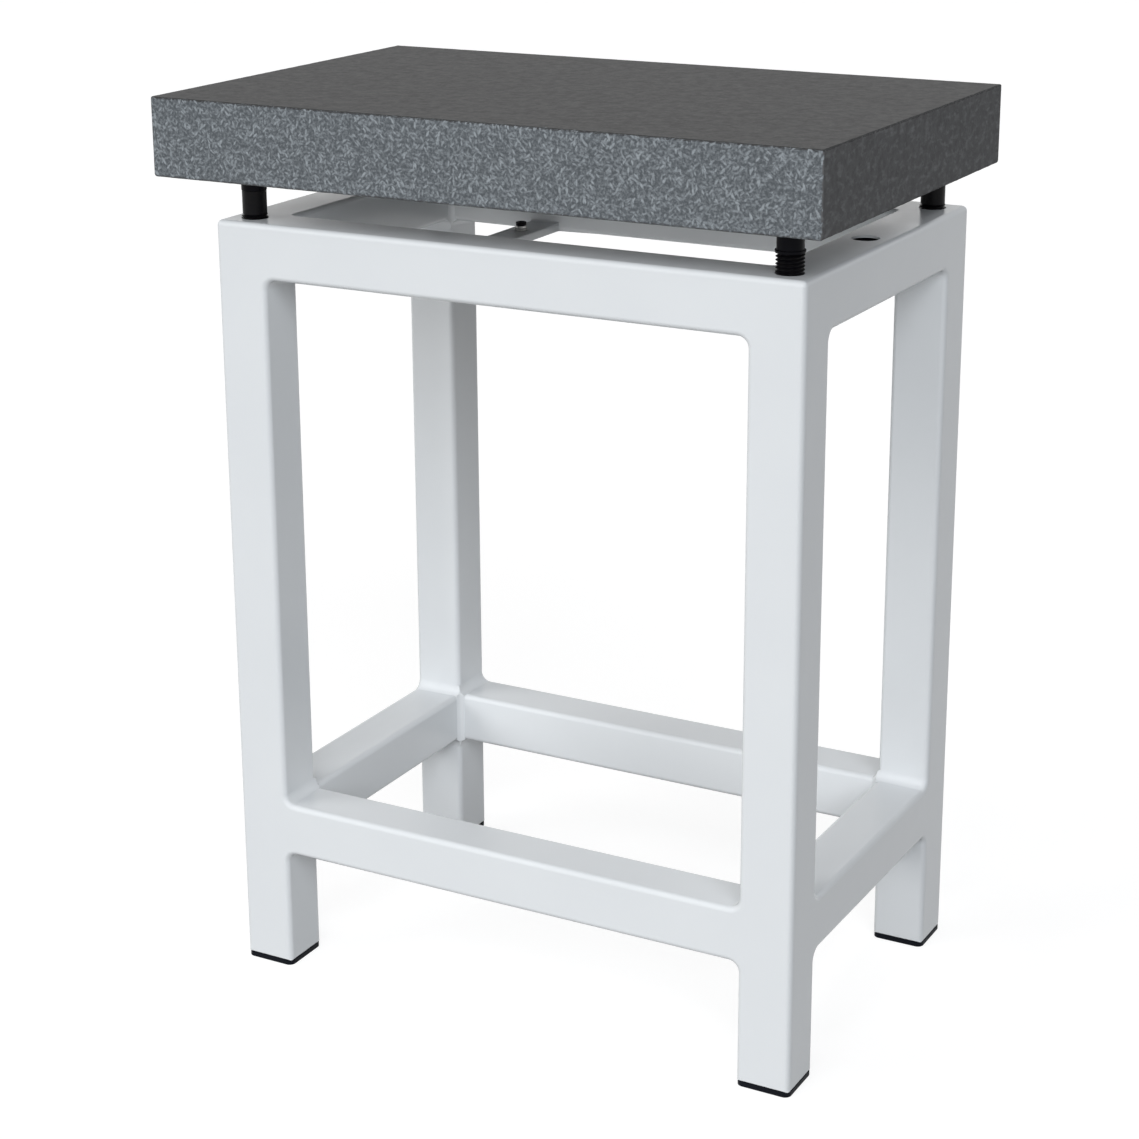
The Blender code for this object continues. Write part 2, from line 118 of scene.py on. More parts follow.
# Welded frame
EDGE_RADIUS = 0.005
WELD_RADIUS = 0.0095
INNER_WELD_RADIUS = 0.002
BAR_EDGE_RADIUS = 0.001
LEG_END_RADIUS = 0.0013
BEVEL_STEPS = 8
ROUND_PROFILE = 0.5
CORNER_COSINE = 0.5
JUNCTION_REACH = 0.008
JUNCTION_ROUNDS = 40
TUBE_WALL = 0.002
LEG_TOP_WALL = 0.006
BORE_CORNER_STEPS = 4
HOLE_GAP = 0.0003
HOLE_SIDES = 64
OVERRUN = 0.004
PLACE_TOLERANCE = 0.0002

# Cells of the frame, counted along x, y and z between the planes of stand_planes
CELL_COUNTS = (6, 4, 5)
LEG_CELLS_X = (0, 5)
LEG_CELLS_Y = (0, 3)
TUBE_LAYERS = (1, 3, 4)
BAR_CELL_X = 2
BAR_LAYER = 3

# Planes of the frame, counted the same way
LEG_INNER_X = (1, 5)
LEG_INNER_Y = (1, 3)
JUNCTION_LEVELS = (1, 2, 3)
SEAM_X = 4
SEAM_Y = 2
RAIL_BOTTOM = 3

# Feet
CAD_SOLE_HEIGHT = 0.003
SOLE_HEIGHT = 0.0048
SOLE_RADIUS = 0.0062
SOLE_LEAST = 0.001
SOLE_EDGE = 0.0004
SOLE_HOLLOW = 0.001
SOLE_HOLLOW_INSET = 0.006
FOOT_CORE_INSET = 0.0042
FOOT_RIB_INSET = 0.0025
FOOT_RIB_HEIGHT = 0.0012
FOOT_RIB_PITCH = 0.003
FOOT_RIBS = 3
FOOT_CORNER_STEPS = 6

# How far the middle of a small rounded edge lies in from its corner, as a share of its size
ROUND_SHARE = 0.3

# Fastener on the cross bar
STUD_RADIUS = 0.003
HEAD_EDGE = 0.0006
SOCKET_FLATS = 0.005
SOCKET_DEPTH = 0.0025
LOCK_HEIGHT = 0.0026
LOCK_TWIST = 0.0002
LOCK_PROUD = 0.0004

# Threads
THREAD_PITCH = 0.003
THREAD_DEPTH = 0.0017
THREAD_FLANK = 1.35
THREAD_CREST = 0.1
THREAD_SIDES = 64
RINGS_PER_PITCH = 10
ROD_CHAMFER = 0.0012
ROD_CHAMFER_SHARE = 0.6

# Levelling screws, their caps and their bushes
SCREW_DEPTH = 0.034
LONG_THREAD_TOP = 0.0165
SHORT_THREAD_TOP = 0.0035
NECK_RADIUS = 0.0108
SPIGOT_RADIUS = 0.0065
SPIGOT_HEIGHT = 0.006
CAP_RADIUS = 0.0112
CAP_EDGE = 0.0008
CAP_LIP_RADIUS = 0.0124
CAP_LIP_HEIGHT = 0.0024
CAP_LIP_EDGE = 0.0003
CAP_BORE_GAP = 0.0003
CAP_CORE = 0.001
CAP_ARC_STEPS = 5
BUSH_WALL = 0.0049
BUSH_CHAMFER = 0.001

# Granite plate
UPRIGHT_RADIUS = 0.0022
UPRIGHT_LEAST = 0.0005
BOTTOM_CHAMFER = 0.0026
TOP_CHAMFER = 0.0016
CHAMFER_SPREAD_SHARE = 0.35
CHAMFER_SCALE = 160.0
CHAMFER_STEPS = 4
CORNER_STEPS = 8
CHIP_SPACING = 0.0013
CHIP_DEPTH = 0.00045
CHIP_SCALE = 420.0
CHIP_FINE_SCALE = 2.7
CHIP_FINE_SHARE = 0.6

# Materials. A noise is its scale, detail and roughness. A range is the two values that come in,
# then the two that they turn into where these aren't 0 and 1
MIDDLE_RANGE = (0.3, 0.7)
MIDDLE_COLOUR = (0.5, 0.5, 0.5)

# Granite: spacing, half length and half width of each layer of crystals
CRYSTALS = (
    (0.0048, 0.0038, 0.0012),
    (0.0055, 0.0044, 0.0014),
    (0.0042, 0.0034, 0.0010),
    (0.0064, 0.0048, 0.0015),
    (0.0046, 0.0038, 0.0013),
)
CRYSTAL_SHIFT = (0.137, 0.241, 0.319)
CRYSTAL_FLATTEN = 0.7
CRYSTAL_FADE = (1.0, 0.1)
CRYSTAL_SPREAD = 1.7
CRYSTAL_SHADES = (0.0, 1.0, 0.28, 1.0)
CRYSTAL_MIDDLE = 0.35
GRAIN_NOISE = (400.0, 2.0, 0.6)
GRAIN_MIDDLE = 0.5
PATCH_NOISE = (60.0, 3.0, 0.6)
PATCH_RANGE = (0.35, 0.65, 0.75, 1.05)
MOTTLE_NOISE = (120.0, 3.0, 0.6)
SPOT_NOISE = (190.0, 3.0, 0.6)
SPOT_STRETCH = (1.0, 0.45, 1.0)
SPOT_RANGE = (0.50, 0.72)
LONG_SIDE_RAGGED = 0.5
LONG_SIDE_RANGE = (0.6, 0.8)
TOP_RAGGED = -0.3
TOP_RANGE = (0.2, 0.4)
ARRIS_RANGE = (0.97, 0.85)
GRANITE_BASE = 0.115
GROUND_NEEDLES = 0.86
GROUND_GRAIN = 1.5
SHORT_MOTTLE_RANGE = (0.3, 0.7, 0.0, 0.3)
SHORT_SPOTS = 0.55
SHORT_NEEDLES = 0.12
TOP_MOTTLE_RANGE = (0.3, 0.7, 0.0, 0.7)
TOP_NEEDLES = 0.4
GRANITE_DARK = (0.098, 0.108, 0.117)
GRANITE_PALE = (0.335, 0.366, 0.389)
GRANITE_SHORT_DARK = (0.114, 0.114, 0.115)
GRANITE_SHORT_PALE = (0.246, 0.250, 0.254)
GRANITE_TOP_DARK = (0.068, 0.0675, 0.067)
GRANITE_TOP_PALE = (0.129, 0.128, 0.127)
GRANITE_ARRIS = (0.050, 0.050, 0.051)
GRANITE_ROUGHNESS = (0.0, 1.0, 0.75, 0.6)
GRANITE_ROUGH_GRAIN = 0.12
GRANITE_RELIEF = (0.0, 1.0, 1.0, 0.1)
GRANITE_RELIEF_HEIGHT = 0.0002
GRANITE_SPECULAR = 0.05

# How much of a bump shows
BUMP_STRENGTH = 0.5
FINE_BUMP_STRENGTH = 0.4
LINE_BUMP_STRENGTH = 0.3

# Powder coat
PAINT_COOL = (0.748, 0.772, 0.790)
PAINT_WARM = (0.768, 0.792, 0.808)
PAINT_CLOUDS = (9.0, 3.0)
PAINT_GLOSS = (40.0, 3.0)
PAINT_ROUGHNESS = (0.3, 0.7, 0.20, 0.26)
PEEL_NOISE = (420.0, 1.0)
PEEL_HEIGHT = 0.00006
FINE_PEEL_NOISE = (1500.0, 2.0)
FINE_PEEL_HEIGHT = 0.00001

# Moulded plastic: colour and roughness
FOOT_PLASTIC = ((0.0045, 0.0055, 0.0080), 0.5)
CAP_PLASTIC = ((0.0022, 0.0022, 0.0036), 0.38)
MOULD_NOISE = (2600.0, 2.0)
MOULD_HEIGHT = 0.00003
SCUFF_NOISE = (160.0, 4.0, 0.65)
SCUFF_RANGE = (0.35, 0.75)
SCUFF_PALER = 1.5
SCUFF_SMOOTHER = 0.05
SCUFF_ROUGHER = 0.08
PLASTIC_SPECULAR = 0.07

# Black oxide
OXIDE_BLACK = (0.003, 0.003, 0.004)
OXIDE_BROWN = (0.007, 0.006, 0.006)
OXIDE_SPOTS = (300.0, 4.0, 0.6)
OXIDE_RANGE = (0.45, 0.75)
OXIDE_ROUGHNESS = (0.3, 0.7, 0.34, 0.5)
OXIDE_SPECULAR = 0.12
TURNING_SCALE = 700.0
TURNING_HEIGHT = 0.00001

# Zinc
ZINC_DULL = (0.42, 0.42, 0.41)
ZINC_BRIGHT = (0.62, 0.62, 0.60)
ZINC_CLOUDS = (220.0, 4.0, 0.6)
ZINC_ROUGHNESS = (0.3, 0.7, 0.45, 0.28)
ZINC_GRAIN = (1800.0, 2.0)
ZINC_GRAIN_HEIGHT = 0.00001


# Mesh helpers


def link(obj):
    """Puts an object into the scene."""
    bpy.context.scene.collection.objects.link(obj)
    return obj


def mesh_object(name, bm):
    """A new object in the scene with the shape that has been built up."""
    mesh = bpy.data.meshes.new(name)
    bm.normal_update()
    bm.to_mesh(mesh)
    bm.free()
    return link(bpy.data.objects.new(name, mesh))


def apply_modifiers(obj):
    """Replaces the object's mesh by its evaluated one."""
    graph = bpy.context.evaluated_depsgraph_get()
    mesh = bpy.data.meshes.new_from_object(obj.evaluated_get(graph))
    obj.modifiers.clear()
    obj.data = mesh


def cut(obj, cutters):
    """Takes the cutters' shapes out of the object."""
    for cutter in cutters:
        modifier = obj.modifiers.new(cutter.name, "BOOLEAN")
        modifier.operation = "DIFFERENCE"
        modifier.solver = "EXACT"
        modifier.object = cutter
    apply_modifiers(obj)
    for cutter in cutters:
        bpy.data.objects.remove(cutter, do_unlink=True)


def flat_sides_smooth_edges(obj):
    """Smooth shading that keeps the flat faces flat and the cut edges sharp."""
    obj.data.shade_smooth()
    obj.data.set_sharp_from_angle(angle=math.radians(SHARP_ANGLE))
    modifier = obj.modifiers.new("weighted normals", "WEIGHTED_NORMAL")
    modifier.keep_sharp = True
    apply_modifiers(obj)


def box_cutter(name, low, high, radius=0.0):
    """A box between two corners, with rounded upright edges if it has a radius."""
    bm = bmesh.new()
    bmesh.ops.create_cube(bm, size=1.0)
    low, high = Vector(low), Vector(high)
    bmesh.ops.scale(bm, vec=high - low, verts=bm.verts)
    bmesh.ops.translate(bm, vec=(low + high) / 2, verts=bm.verts)
    if radius:
        upright = [e for e in bm.edges if abs(e.verts[0].co.z - e.verts[1].co.z) > radius]
        bmesh.ops.bevel(
            bm,
            geom=upright,
            offset=radius,
            segments=BORE_CORNER_STEPS,
            profile=ROUND_PROFILE,
            affect="EDGES",
        )
    return mesh_object(name, bm)


def round_cutter(name, place, radius, low, high):
    """An upright cylinder between two heights."""
    bm = bmesh.new()
    bmesh.ops.create_cone(
        bm,
        cap_ends=True,
        segments=HOLE_SIDES,
        radius1=radius,
        radius2=radius,
        depth=high - low,
    )
    centre = Vector((place.x, place.y, (low + high) / 2))
    bmesh.ops.translate(bm, vec=centre, verts=bm.verts)
    return mesh_object(name, bm)


def rounded_outline(half, radius, steps, spacing=0.0):
    """Points round a rectangle with rounded corners, each with its outward direction.

    The corners have this many steps, and the straight sides points at this spacing, or none.
    """
    reach = Vector((half.x - radius, half.y - radius))
    arcs = []
    for x_sign, y_sign, start in ((1, 1, 0), (-1, 1, 90), (-1, -1, 180), (1, -1, 270)):
        centre = Vector((x_sign * reach.x, y_sign * reach.y))
        arc = []
        for step in range(steps + 1):
            angle = math.radians(start + 90 * step / steps)
            outward = Vector((math.cos(angle), math.sin(angle)))
            arc.append((centre + outward * radius, outward))
        arcs.append(arc)
    points = []
    for arc, following, length in zip(arcs, arcs[1:] + arcs[:1], (half.x, half.y) * 2):
        points += arc
        if spacing:
            start, outward = arc[-1]
            end = following[0][0]
            count = int(2 * length / spacing)
            points += [(start.lerp(end, step / count), outward) for step in range(1, count)]
    return points


def lofted(name, rings, place, hubs=(None, None)):
    """A closed piece through rings of points, with flat ends, round a hub where one is given."""
    bm = bmesh.new()
    loops = [[bm.verts.new(Vector(at) + place) for at in ring] for ring in rings]
    count = len(rings[0])
    for lower, upper in zip(loops, loops[1:]):
        for step in range(count):
            after = (step + 1) % count
            bm.faces.new((lower[step], lower[after], upper[after], upper[step]))
    for loop, hub in zip((loops[0], loops[-1]), hubs):
        if hub is None:
            bm.faces.new(loop)
            continue
        centre = bm.verts.new(Vector(hub) + place)
        for step in range(count):
            bm.faces.new((centre, loop[step], loop[(step + 1) % count]))
    bmesh.ops.recalc_face_normals(bm, faces=bm.faces)
    piece = mesh_object(name, bm)
    flat_sides_smooth_edges(piece)
    return piece


def middle(node):
    """The middle of a CAD node's box."""
    low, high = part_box(node)
    return (Vector(low) + Vector(high)) / 2


# Materials


class Shader:
    """A material's nodes, with a call for each kind that the materials here need.

    A value that a call takes is a number, a vector, a colour or what another call returned.
    """

    def __init__(self, name):
        self.material = bpy.data.materials.new(name)
        self.material.use_nodes = True
        self.tree = self.material.node_tree
        self.principled = self.tree.nodes["Principled BSDF"]
        self.coords = self.tree.nodes.new("ShaderNodeTexCoord").outputs["Object"]

    def put(self, socket, value):
        """Links a socket to what another call returned, or sets it to a value."""
        if isinstance(value, bpy.types.NodeSocket):
            self.tree.links.new(value, socket)
        elif socket.type == "RGBA":
            socket.default_value = (*value, 1.0)
        else:
            socket.default_value = value

    def node(self, kind, **inputs):
        """A node of this kind, with the inputs that are named."""
        made = self.tree.nodes.new(kind)
        for name, value in inputs.items():
            self.put(made.inputs[name], value)
        return made

    def math(self, operation, *values):
        """The result of an operation on one number or more."""
        made = self.tree.nodes.new("ShaderNodeMath")
        made.operation = operation
        for socket, value in zip(made.inputs, values):
            self.put(socket, value)
        return made.outputs[0]

    def remap(self, value, low, high, to_low=0.0, to_high=1.0, smooth=False):
        """Turns the values from low to high into those from to_low to to_high, and no further."""
        made = self.tree.nodes.new("ShaderNodeMapRange")
        if smooth:
            made.interpolation_type = "SMOOTHSTEP"
        for name, number in (
            ("Value", value),
            ("From Min", low),
            ("From Max", high),
            ("To Min", to_low),
            ("To Max", to_high),
        ):
            self.put(made.inputs[name], number)
        return made.outputs[0]

    def noise(self, scale, detail, roughness=0.5, vector=None):
        """A noise over the object, or over another vector."""
        made = self.node(
            "ShaderNodeTexNoise",
            Vector=vector or self.coords,
            Scale=scale,
            Detail=detail,
            Roughness=roughness,
        )
        return made.outputs[0]

    def vector(self, operation, first, second=None):
        """The result of an operation on a vector and, for most, a second value."""
        made = self.tree.nodes.new("ShaderNodeVectorMath")
        made.operation = operation
        self.put(made.inputs[0], first)
        if operation == "SCALE":
            self.put(made.inputs["Scale"], second)
        elif second is not None:
            self.put(made.inputs[1], second)
        return made.outputs["Value" if operation in ("DOT_PRODUCT", "LENGTH") else "Vector"]

    def shift(self, by):
        """Moves the coordinates of what comes next, so that two like textures differ."""
        self.coords = self.vector("ADD", self.coords, by)

    def flatten(self, share):
        """Per axis, what to multiply by so that a direction leans into the surface."""
        geometry = self.tree.nodes.new("ShaderNodeNewGeometry")
        across = self.vector("ABSOLUTE", geometry.outputs["True Normal"])
        return self.vector("SUBTRACT", (1.0, 1.0, 1.0), self.vector("SCALE", across, share))

    def part(self, colour, number):
        """One of a colour's three parts."""
        split = self.tree.nodes.new("ShaderNodeSeparateColor")
        self.put(split.inputs[0], colour)
        return split.outputs[number]

    def mix(self, factor, first, second):
        """The first colour where the factor is 0, and the second where it is 1."""
        made = self.tree.nodes.new("ShaderNodeMix")
        made.data_type = "RGBA"
        self.put(made.inputs["Factor"], factor)
        self.put(made.inputs["A"], first)
        self.put(made.inputs["B"], second)
        return made.outputs["Result"]

    def bump(self, height, distance, strength=BUMP_STRENGTH, normal=None):
        """The normal that a height bends, or that bends another normal further."""
        made = self.tree.nodes.new("ShaderNodeBump")
        self.put(made.inputs["Height"], height)
        made.inputs["Distance"].default_value = distance
        made.inputs["Strength"].default_value = strength
        if normal:
            self.put(made.inputs["Normal"], normal)
        return made.outputs[0]

    def facing(self):
        """How far the surface faces along y, to the front or the back, and how far up."""
        geometry = self.tree.nodes.new("ShaderNodeNewGeometry")
        split = self.tree.nodes.new("ShaderNodeSeparateXYZ")
        self.put(split.inputs[0], geometry.outputs["True Normal"])
        return self.math("ABSOLUTE", split.outputs["Y"]), split.outputs["Z"]

    def finish(self, colour, roughness, normal, metallic=0.0, specular=0.5):
        """Gives the material's shader its values, and returns the material."""
        self.put(self.principled.inputs["Base Color"], colour)
        self.put(self.principled.inputs["Roughness"], roughness)
        self.principled.inputs["Metallic"].default_value = metallic
        self.principled.inputs["Specular IOR Level"].default_value = specular
        self.put(self.principled.inputs["Normal"], normal)
        return self.material


def crystal_layer(shader, flatten, spacing, length, width):
    """Needle crystals, each lying its own way: how bright each point is, from 0 to 1."""
    vector = shader.vector
    cells = shader.node("ShaderNodeTexVoronoi", Scale=1 / spacing, Vector=shader.coords)
    offset = vector("SUBTRACT", shader.coords, cells.outputs["Position"])
    axis = vector("SUBTRACT", cells.outputs["Color"], MIDDLE_COLOUR)
    axis = vector("NORMALIZE", vector("MULTIPLY", axis, flatten))
    along = vector("DOT_PRODUCT", offset, axis)
    away = vector("LENGTH", vector("SUBTRACT", offset, vector("SCALE", axis, along)))
    along = shader.math("DIVIDE", along, length)
    away = shader.math("DIVIDE", away, width)
    reach = shader.math(
        "ADD", shader.math("MULTIPLY", along, along), shader.math("MULTIPLY", away, away)
    )
    shape = shader.remap(reach, *CRYSTAL_FADE, smooth=True)
    shade = shader.math("POWER", shader.part(cells.outputs["Color"], 2), CRYSTAL_SPREAD)
    shade = shader.remap(shade, *CRYSTAL_SHADES)
    return shader.math("MULTIPLY", shape, shade)


def granite():
    """Granite with a felt of fine needle crystals: ground on its sides, lapped on top.

    The long sides show the needles, the short sides hardly, and the top is dark and calm.
    """
    shader = Shader("granite")
    along, up = shader.facing()
    start = shader.coords
    flatten = shader.flatten(CRYSTAL_FLATTEN)
    needles = 0.0
    for spacing, length, width in CRYSTALS:
        shader.shift(CRYSTAL_SHIFT)
        layer = crystal_layer(shader, flatten, spacing, length, width)
        needles = shader.math("MAXIMUM", needles, layer)
    shader.coords = start
    grain = shader.math("SUBTRACT", shader.noise(*GRAIN_NOISE), GRAIN_MIDDLE)
    patches = shader.remap(shader.noise(*PATCH_NOISE), *PATCH_RANGE)
    mottle = shader.noise(*MOTTLE_NOISE)
    stretched = shader.vector("MULTIPLY", start, SPOT_STRETCH)
    spots = shader.remap(shader.noise(*SPOT_NOISE, vector=stretched), *SPOT_RANGE)

    ragged = shader.math("SUBTRACT", needles, CRYSTAL_MIDDLE)
    long_side = shader.math("MULTIPLY_ADD", ragged, LONG_SIDE_RAGGED, along)
    long_side = shader.remap(long_side, *LONG_SIDE_RANGE)
    top = shader.math("MULTIPLY_ADD", ragged, TOP_RAGGED, up)
    top = shader.remap(top, *TOP_RANGE)
    arris = shader.math("MULTIPLY", top, shader.remap(up, *ARRIS_RANGE))

    needles = shader.math("MULTIPLY", needles, patches)
    level = shader.math("MULTIPLY_ADD", needles, GROUND_NEEDLES, GRANITE_BASE)
    level = shader.math("MULTIPLY_ADD", grain, GROUND_GRAIN, level)
    level = shader.math("MAXIMUM", level, 0.0)
    ground = shader.mix(level, GRANITE_DARK, GRANITE_PALE)
    calm = shader.remap(mottle, *SHORT_MOTTLE_RANGE)
    calm = shader.math("MULTIPLY_ADD", spots, SHORT_SPOTS, calm)
    calm = shader.math("MULTIPLY_ADD", needles, SHORT_NEEDLES, calm)
    short = shader.mix(calm, GRANITE_SHORT_DARK, GRANITE_SHORT_PALE)
    worn = shader.remap(mottle, *TOP_MOTTLE_RANGE)
    worn = shader.math("MULTIPLY_ADD", needles, TOP_NEEDLES, worn)
    lapped = shader.mix(worn, GRANITE_TOP_DARK, GRANITE_TOP_PALE)
    colour = shader.mix(long_side, short, ground)
    colour = shader.mix(top, colour, lapped)
    colour = shader.mix(arris, colour, GRANITE_ARRIS)

    roughness = shader.remap(top, *GRANITE_ROUGHNESS)
    roughness = shader.math("MULTIPLY_ADD", grain, GRANITE_ROUGH_GRAIN, roughness)
    relief = shader.math("MULTIPLY", level, shader.remap(top, *GRANITE_RELIEF))
    normal = shader.bump(relief, GRANITE_RELIEF_HEIGHT)
    return shader.finish(colour, roughness, normal, specular=GRANITE_SPECULAR)


def powder_coat():
    """Off-white powder coat with a faint orange peel."""
    shader = Shader("white_paint")
    tint = shader.remap(shader.noise(*PAINT_CLOUDS), *MIDDLE_RANGE)
    colour = shader.mix(tint, PAINT_COOL, PAINT_WARM)
    roughness = shader.remap(shader.noise(*PAINT_GLOSS), *PAINT_ROUGHNESS)
    normal = shader.bump(shader.noise(*PEEL_NOISE), PEEL_HEIGHT)
    normal = shader.bump(shader.noise(*FINE_PEEL_NOISE), FINE_PEEL_HEIGHT, normal=normal)
    return shader.finish(colour, roughness, normal)


def moulded_plastic(name, colour, roughness):
    """Black plastic with the fine texture of its mould."""
    shader = Shader(name)
    scuffs = shader.noise(*SCUFF_NOISE)
    paler = [SCUFF_PALER * part for part in colour]
    base = shader.mix(shader.remap(scuffs, *SCUFF_RANGE), colour, paler)
    limits = (roughness - SCUFF_SMOOTHER, roughness + SCUFF_ROUGHER)
    rough = shader.remap(scuffs, *MIDDLE_RANGE, *limits)
    normal = shader.bump(shader.noise(*MOULD_NOISE), MOULD_HEIGHT, FINE_BUMP_STRENGTH)
    return shader.finish(base, rough, normal, specular=PLASTIC_SPECULAR)


def black_oxide():
    """Turned steel under black oxide, slightly brown where it is thin."""
    shader = Shader("black_oxide")
    spots = shader.noise(*OXIDE_SPOTS)
    base = shader.mix(shader.remap(spots, *OXIDE_RANGE), OXIDE_BLACK, OXIDE_BROWN)
    rough = shader.remap(spots, *OXIDE_ROUGHNESS)
    lines = shader.node("ShaderNodeTexWave", Vector=shader.coords, Scale=TURNING_SCALE)
    lines.bands_direction = "Z"
    normal = shader.bump(lines.outputs[1], TURNING_HEIGHT, LINE_BUMP_STRENGTH)
    return shader.finish(base, rough, normal, specular=OXIDE_SPECULAR)


def bright_zinc():
    """Zinc on steel, cloudy, with a faint warm cast."""
    shader = Shader("zinc")
    clouds = shader.noise(*ZINC_CLOUDS)
    base = shader.mix(shader.remap(clouds, *MIDDLE_RANGE), ZINC_DULL, ZINC_BRIGHT)
    rough = shader.remap(clouds, *ZINC_ROUGHNESS)
    normal = shader.bump(shader.noise(*ZINC_GRAIN), ZINC_GRAIN_HEIGHT, FINE_BUMP_STRENGTH)
    return shader.finish(base, rough, normal, metallic=1.0)


# Welded frame


def stand_planes():
    """The places along x, y and z at which the frame's outline changes, and of its seams."""
    low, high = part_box("leg_front_left")
    far_low, far_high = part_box("leg_back_right")
    bar_low, bar_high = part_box("cross_bar")
    side = high[0] - low[0]
    stretcher = middle("stretcher_front").z
    seam_x = (bar_high[0] + far_low[0]) / 2
    seam_y = (high[1] + far_low[1]) / 2
    x = [low[0], high[0], bar_low[0], bar_high[0], seam_x, far_low[0], far_high[0]]
    y = [low[1], high[1], seam_y, far_low[1], far_high[1]]
    z = [
        low[2] + SOLE_HEIGHT - CAD_SOLE_HEIGHT,
        stretcher - side / 2,
        stretcher + side / 2,
        bar_low[2],
        bar_high[2],
        high[2],
    ]
    return x, y, z


def filled(i, j, k):
    """Whether a cell between the planes holds steel."""
    if not all(0 <= at < count for at, count in zip((i, j, k), CELL_COUNTS)):
        return False
    in_x_tube = j in LEG_CELLS_Y
    in_y_tube = i in LEG_CELLS_X
    is_leg = in_x_tube and in_y_tube
    is_bar = i == BAR_CELL_X and k == BAR_LAYER
    return is_leg or is_bar or (k in TUBE_LAYERS and (in_x_tube or in_y_tube))


def cell_faces():
    """The outer faces of the filled cells, as lists of four grid points."""
    steps = [Vector((1, 0, 0)), Vector((0, 1, 0)), Vector((0, 0, 1))]
    cells = [cell for cell in itertools.product(*map(range, CELL_COUNTS)) if filled(*cell)]
    for cell, axis, way in itertools.product(cells, range(3), (0, 1)):
        next_cell = list(cell)
        next_cell[axis] += 1 if way else -1
        if filled(*next_cell):
            continue
        start = Vector(cell) + steps[axis] * way
        first, second = steps[axis - 2], steps[axis - 1]
        loop = [start, start + first, start + first + second, start + second]
        yield loop if way else loop[::-1]


def edge_radius(edge, planes, convex):
    """How far an edge of the frame is rounded in the pass for inner or for outer edges."""
    x, y, z = planes
    first, second = edge.link_faces
    if abs(first.normal.dot(second.normal)) > CORNER_COSINE or edge.is_convex != convex:
        return 0.0
    place = (edge.verts[0].co + edge.verts[1].co) / 2
    direction = edge.verts[1].co - edge.verts[0].co
    margin = INNER_WELD_RADIUS + PLACE_TOLERANCE
    bar_box = (
        (x[BAR_CELL_X], x[BAR_CELL_X + 1]),
        (y[LEG_INNER_Y[0]], y[LEG_INNER_Y[1]]),
        (z[BAR_LAYER], z[BAR_LAYER + 1]),
    )
    on_bar = all(low - margin < at < high + margin for at, (low, high) in zip(place, bar_box))
    if convex:
        if place.z < z[0] + PLACE_TOLERANCE:
            return LEG_END_RADIUS
        return BAR_EDGE_RADIUS if on_bar else EDGE_RADIUS
    if on_bar or abs(direction.z) > WELD_RADIUS:
        return INNER_WELD_RADIUS
    return WELD_RADIUS


def join_flat_faces(bm, planes):
    """Joins the cells' faces where they are flush, but for a seam across each long tube."""
    flush = []
    for edge in bm.edges:
        first, second = edge.link_faces
        if first.normal.dot(second.normal) < CORNER_COSINE:
            continue
        ends = [vert.co for vert in edge.verts]
        on_seam_x = all(abs(end.x - planes[0][SEAM_X]) < PLACE_TOLERANCE for end in ends)
        on_seam_y = all(abs(end.y - planes[1][SEAM_Y]) < PLACE_TOLERANCE for end in ends)
        if not (on_seam_x or on_seam_y):
            flush.append(edge)
    bmesh.ops.dissolve_edges(bm, edges=flush, use_verts=True)
    straight = [vert for vert in bm.verts if len(vert.link_edges) == 2]
    bmesh.ops.dissolve_verts(bm, verts=straight)


def round_edges(piece, planes, convex):
    """Rounds the inner or the outer edges of the frame, each by its own radius."""
    bm = bmesh.new()
    bm.from_mesh(piece.data)
    bm.normal_update()
    weights = bm.edges.layers.float.get("bevel_weight_edge")
    if weights is None:
        weights = bm.edges.layers.float.new("bevel_weight_edge")
    for edge in bm.edges:
        edge[weights] = edge_radius(edge, planes, convex) / WELD_RADIUS
    bm.to_mesh(piece.data)
    bm.free()
    bevel = piece.modifiers.new("soft corners", "BEVEL")
    bevel.limit_method = "WEIGHT"
    bevel.width = WELD_RADIUS
    bevel.segments = BEVEL_STEPS
    bevel.loop_slide = False
    bevel.use_clamp_overlap = False
    apply_modifiers(piece)


def smooth_junctions(piece, planes):
    """Evens out the welds where two tubes meet inside a leg, and leaves their long edges."""
    x, y, z = planes
    bm = bmesh.new()
    bm.from_mesh(piece.data)
    for i, j, k in itertools.product(LEG_INNER_X, LEG_INNER_Y, JUNCTION_LEVELS):
        place = Vector((x[i], y[j], z[k]))
        loose = {}
        for vert in bm.verts:
            if (vert.co - place).length > JUNCTION_REACH:
                continue
            if all(edge.calc_length() < JUNCTION_REACH for edge in vert.link_edges):
                loose[vert] = [edge.other_vert(vert) for edge in vert.link_edges]
        for _ in range(JUNCTION_ROUNDS):
            aims = [
                sum((other.co for other in others), Vector()) / len(others)
                for others in loose.values()
            ]
            for vert, aim in zip(loose, aims):
                vert.co = aim
    bm.to_mesh(piece.data)
    bm.free()


def welded_frame(paint):
    """The legs, rails, stretchers and cross bar as one painted weldment with soft corners."""
    planes = stand_planes()
    bm = bmesh.new()
    points = {}

    def point(at):
        key = tuple(int(round(part)) for part in at)
        if key not in points:
            points[key] = bm.verts.new([planes[axis][key[axis]] for axis in range(3)])
        return points[key]

    for loop in cell_faces():
        bm.faces.new([point(at) for at in loop])
    bmesh.ops.recalc_face_normals(bm, faces=bm.faces)
    bm.normal_update()
    join_flat_faces(bm, planes)
    frame_piece = mesh_object("painted_frame", bm)
    for convex in (False, True):
        round_edges(frame_piece, planes, convex)
    smooth_junctions(frame_piece, planes)
    cut(frame_piece, frame_cutters(planes))
    flat_sides_smooth_edges(frame_piece)
    frame_piece.data.materials.append(paint)
    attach(frame_piece, "stand")
    tubes = [f"leg_{depth}_{side}" for depth, side in CORNERS]
    for kind in ("top_rail", "stretcher"):
        tubes += [f"{kind}_{where}" for where in DEPTHS + SIDES]
    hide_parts("cross_bar", *tubes)


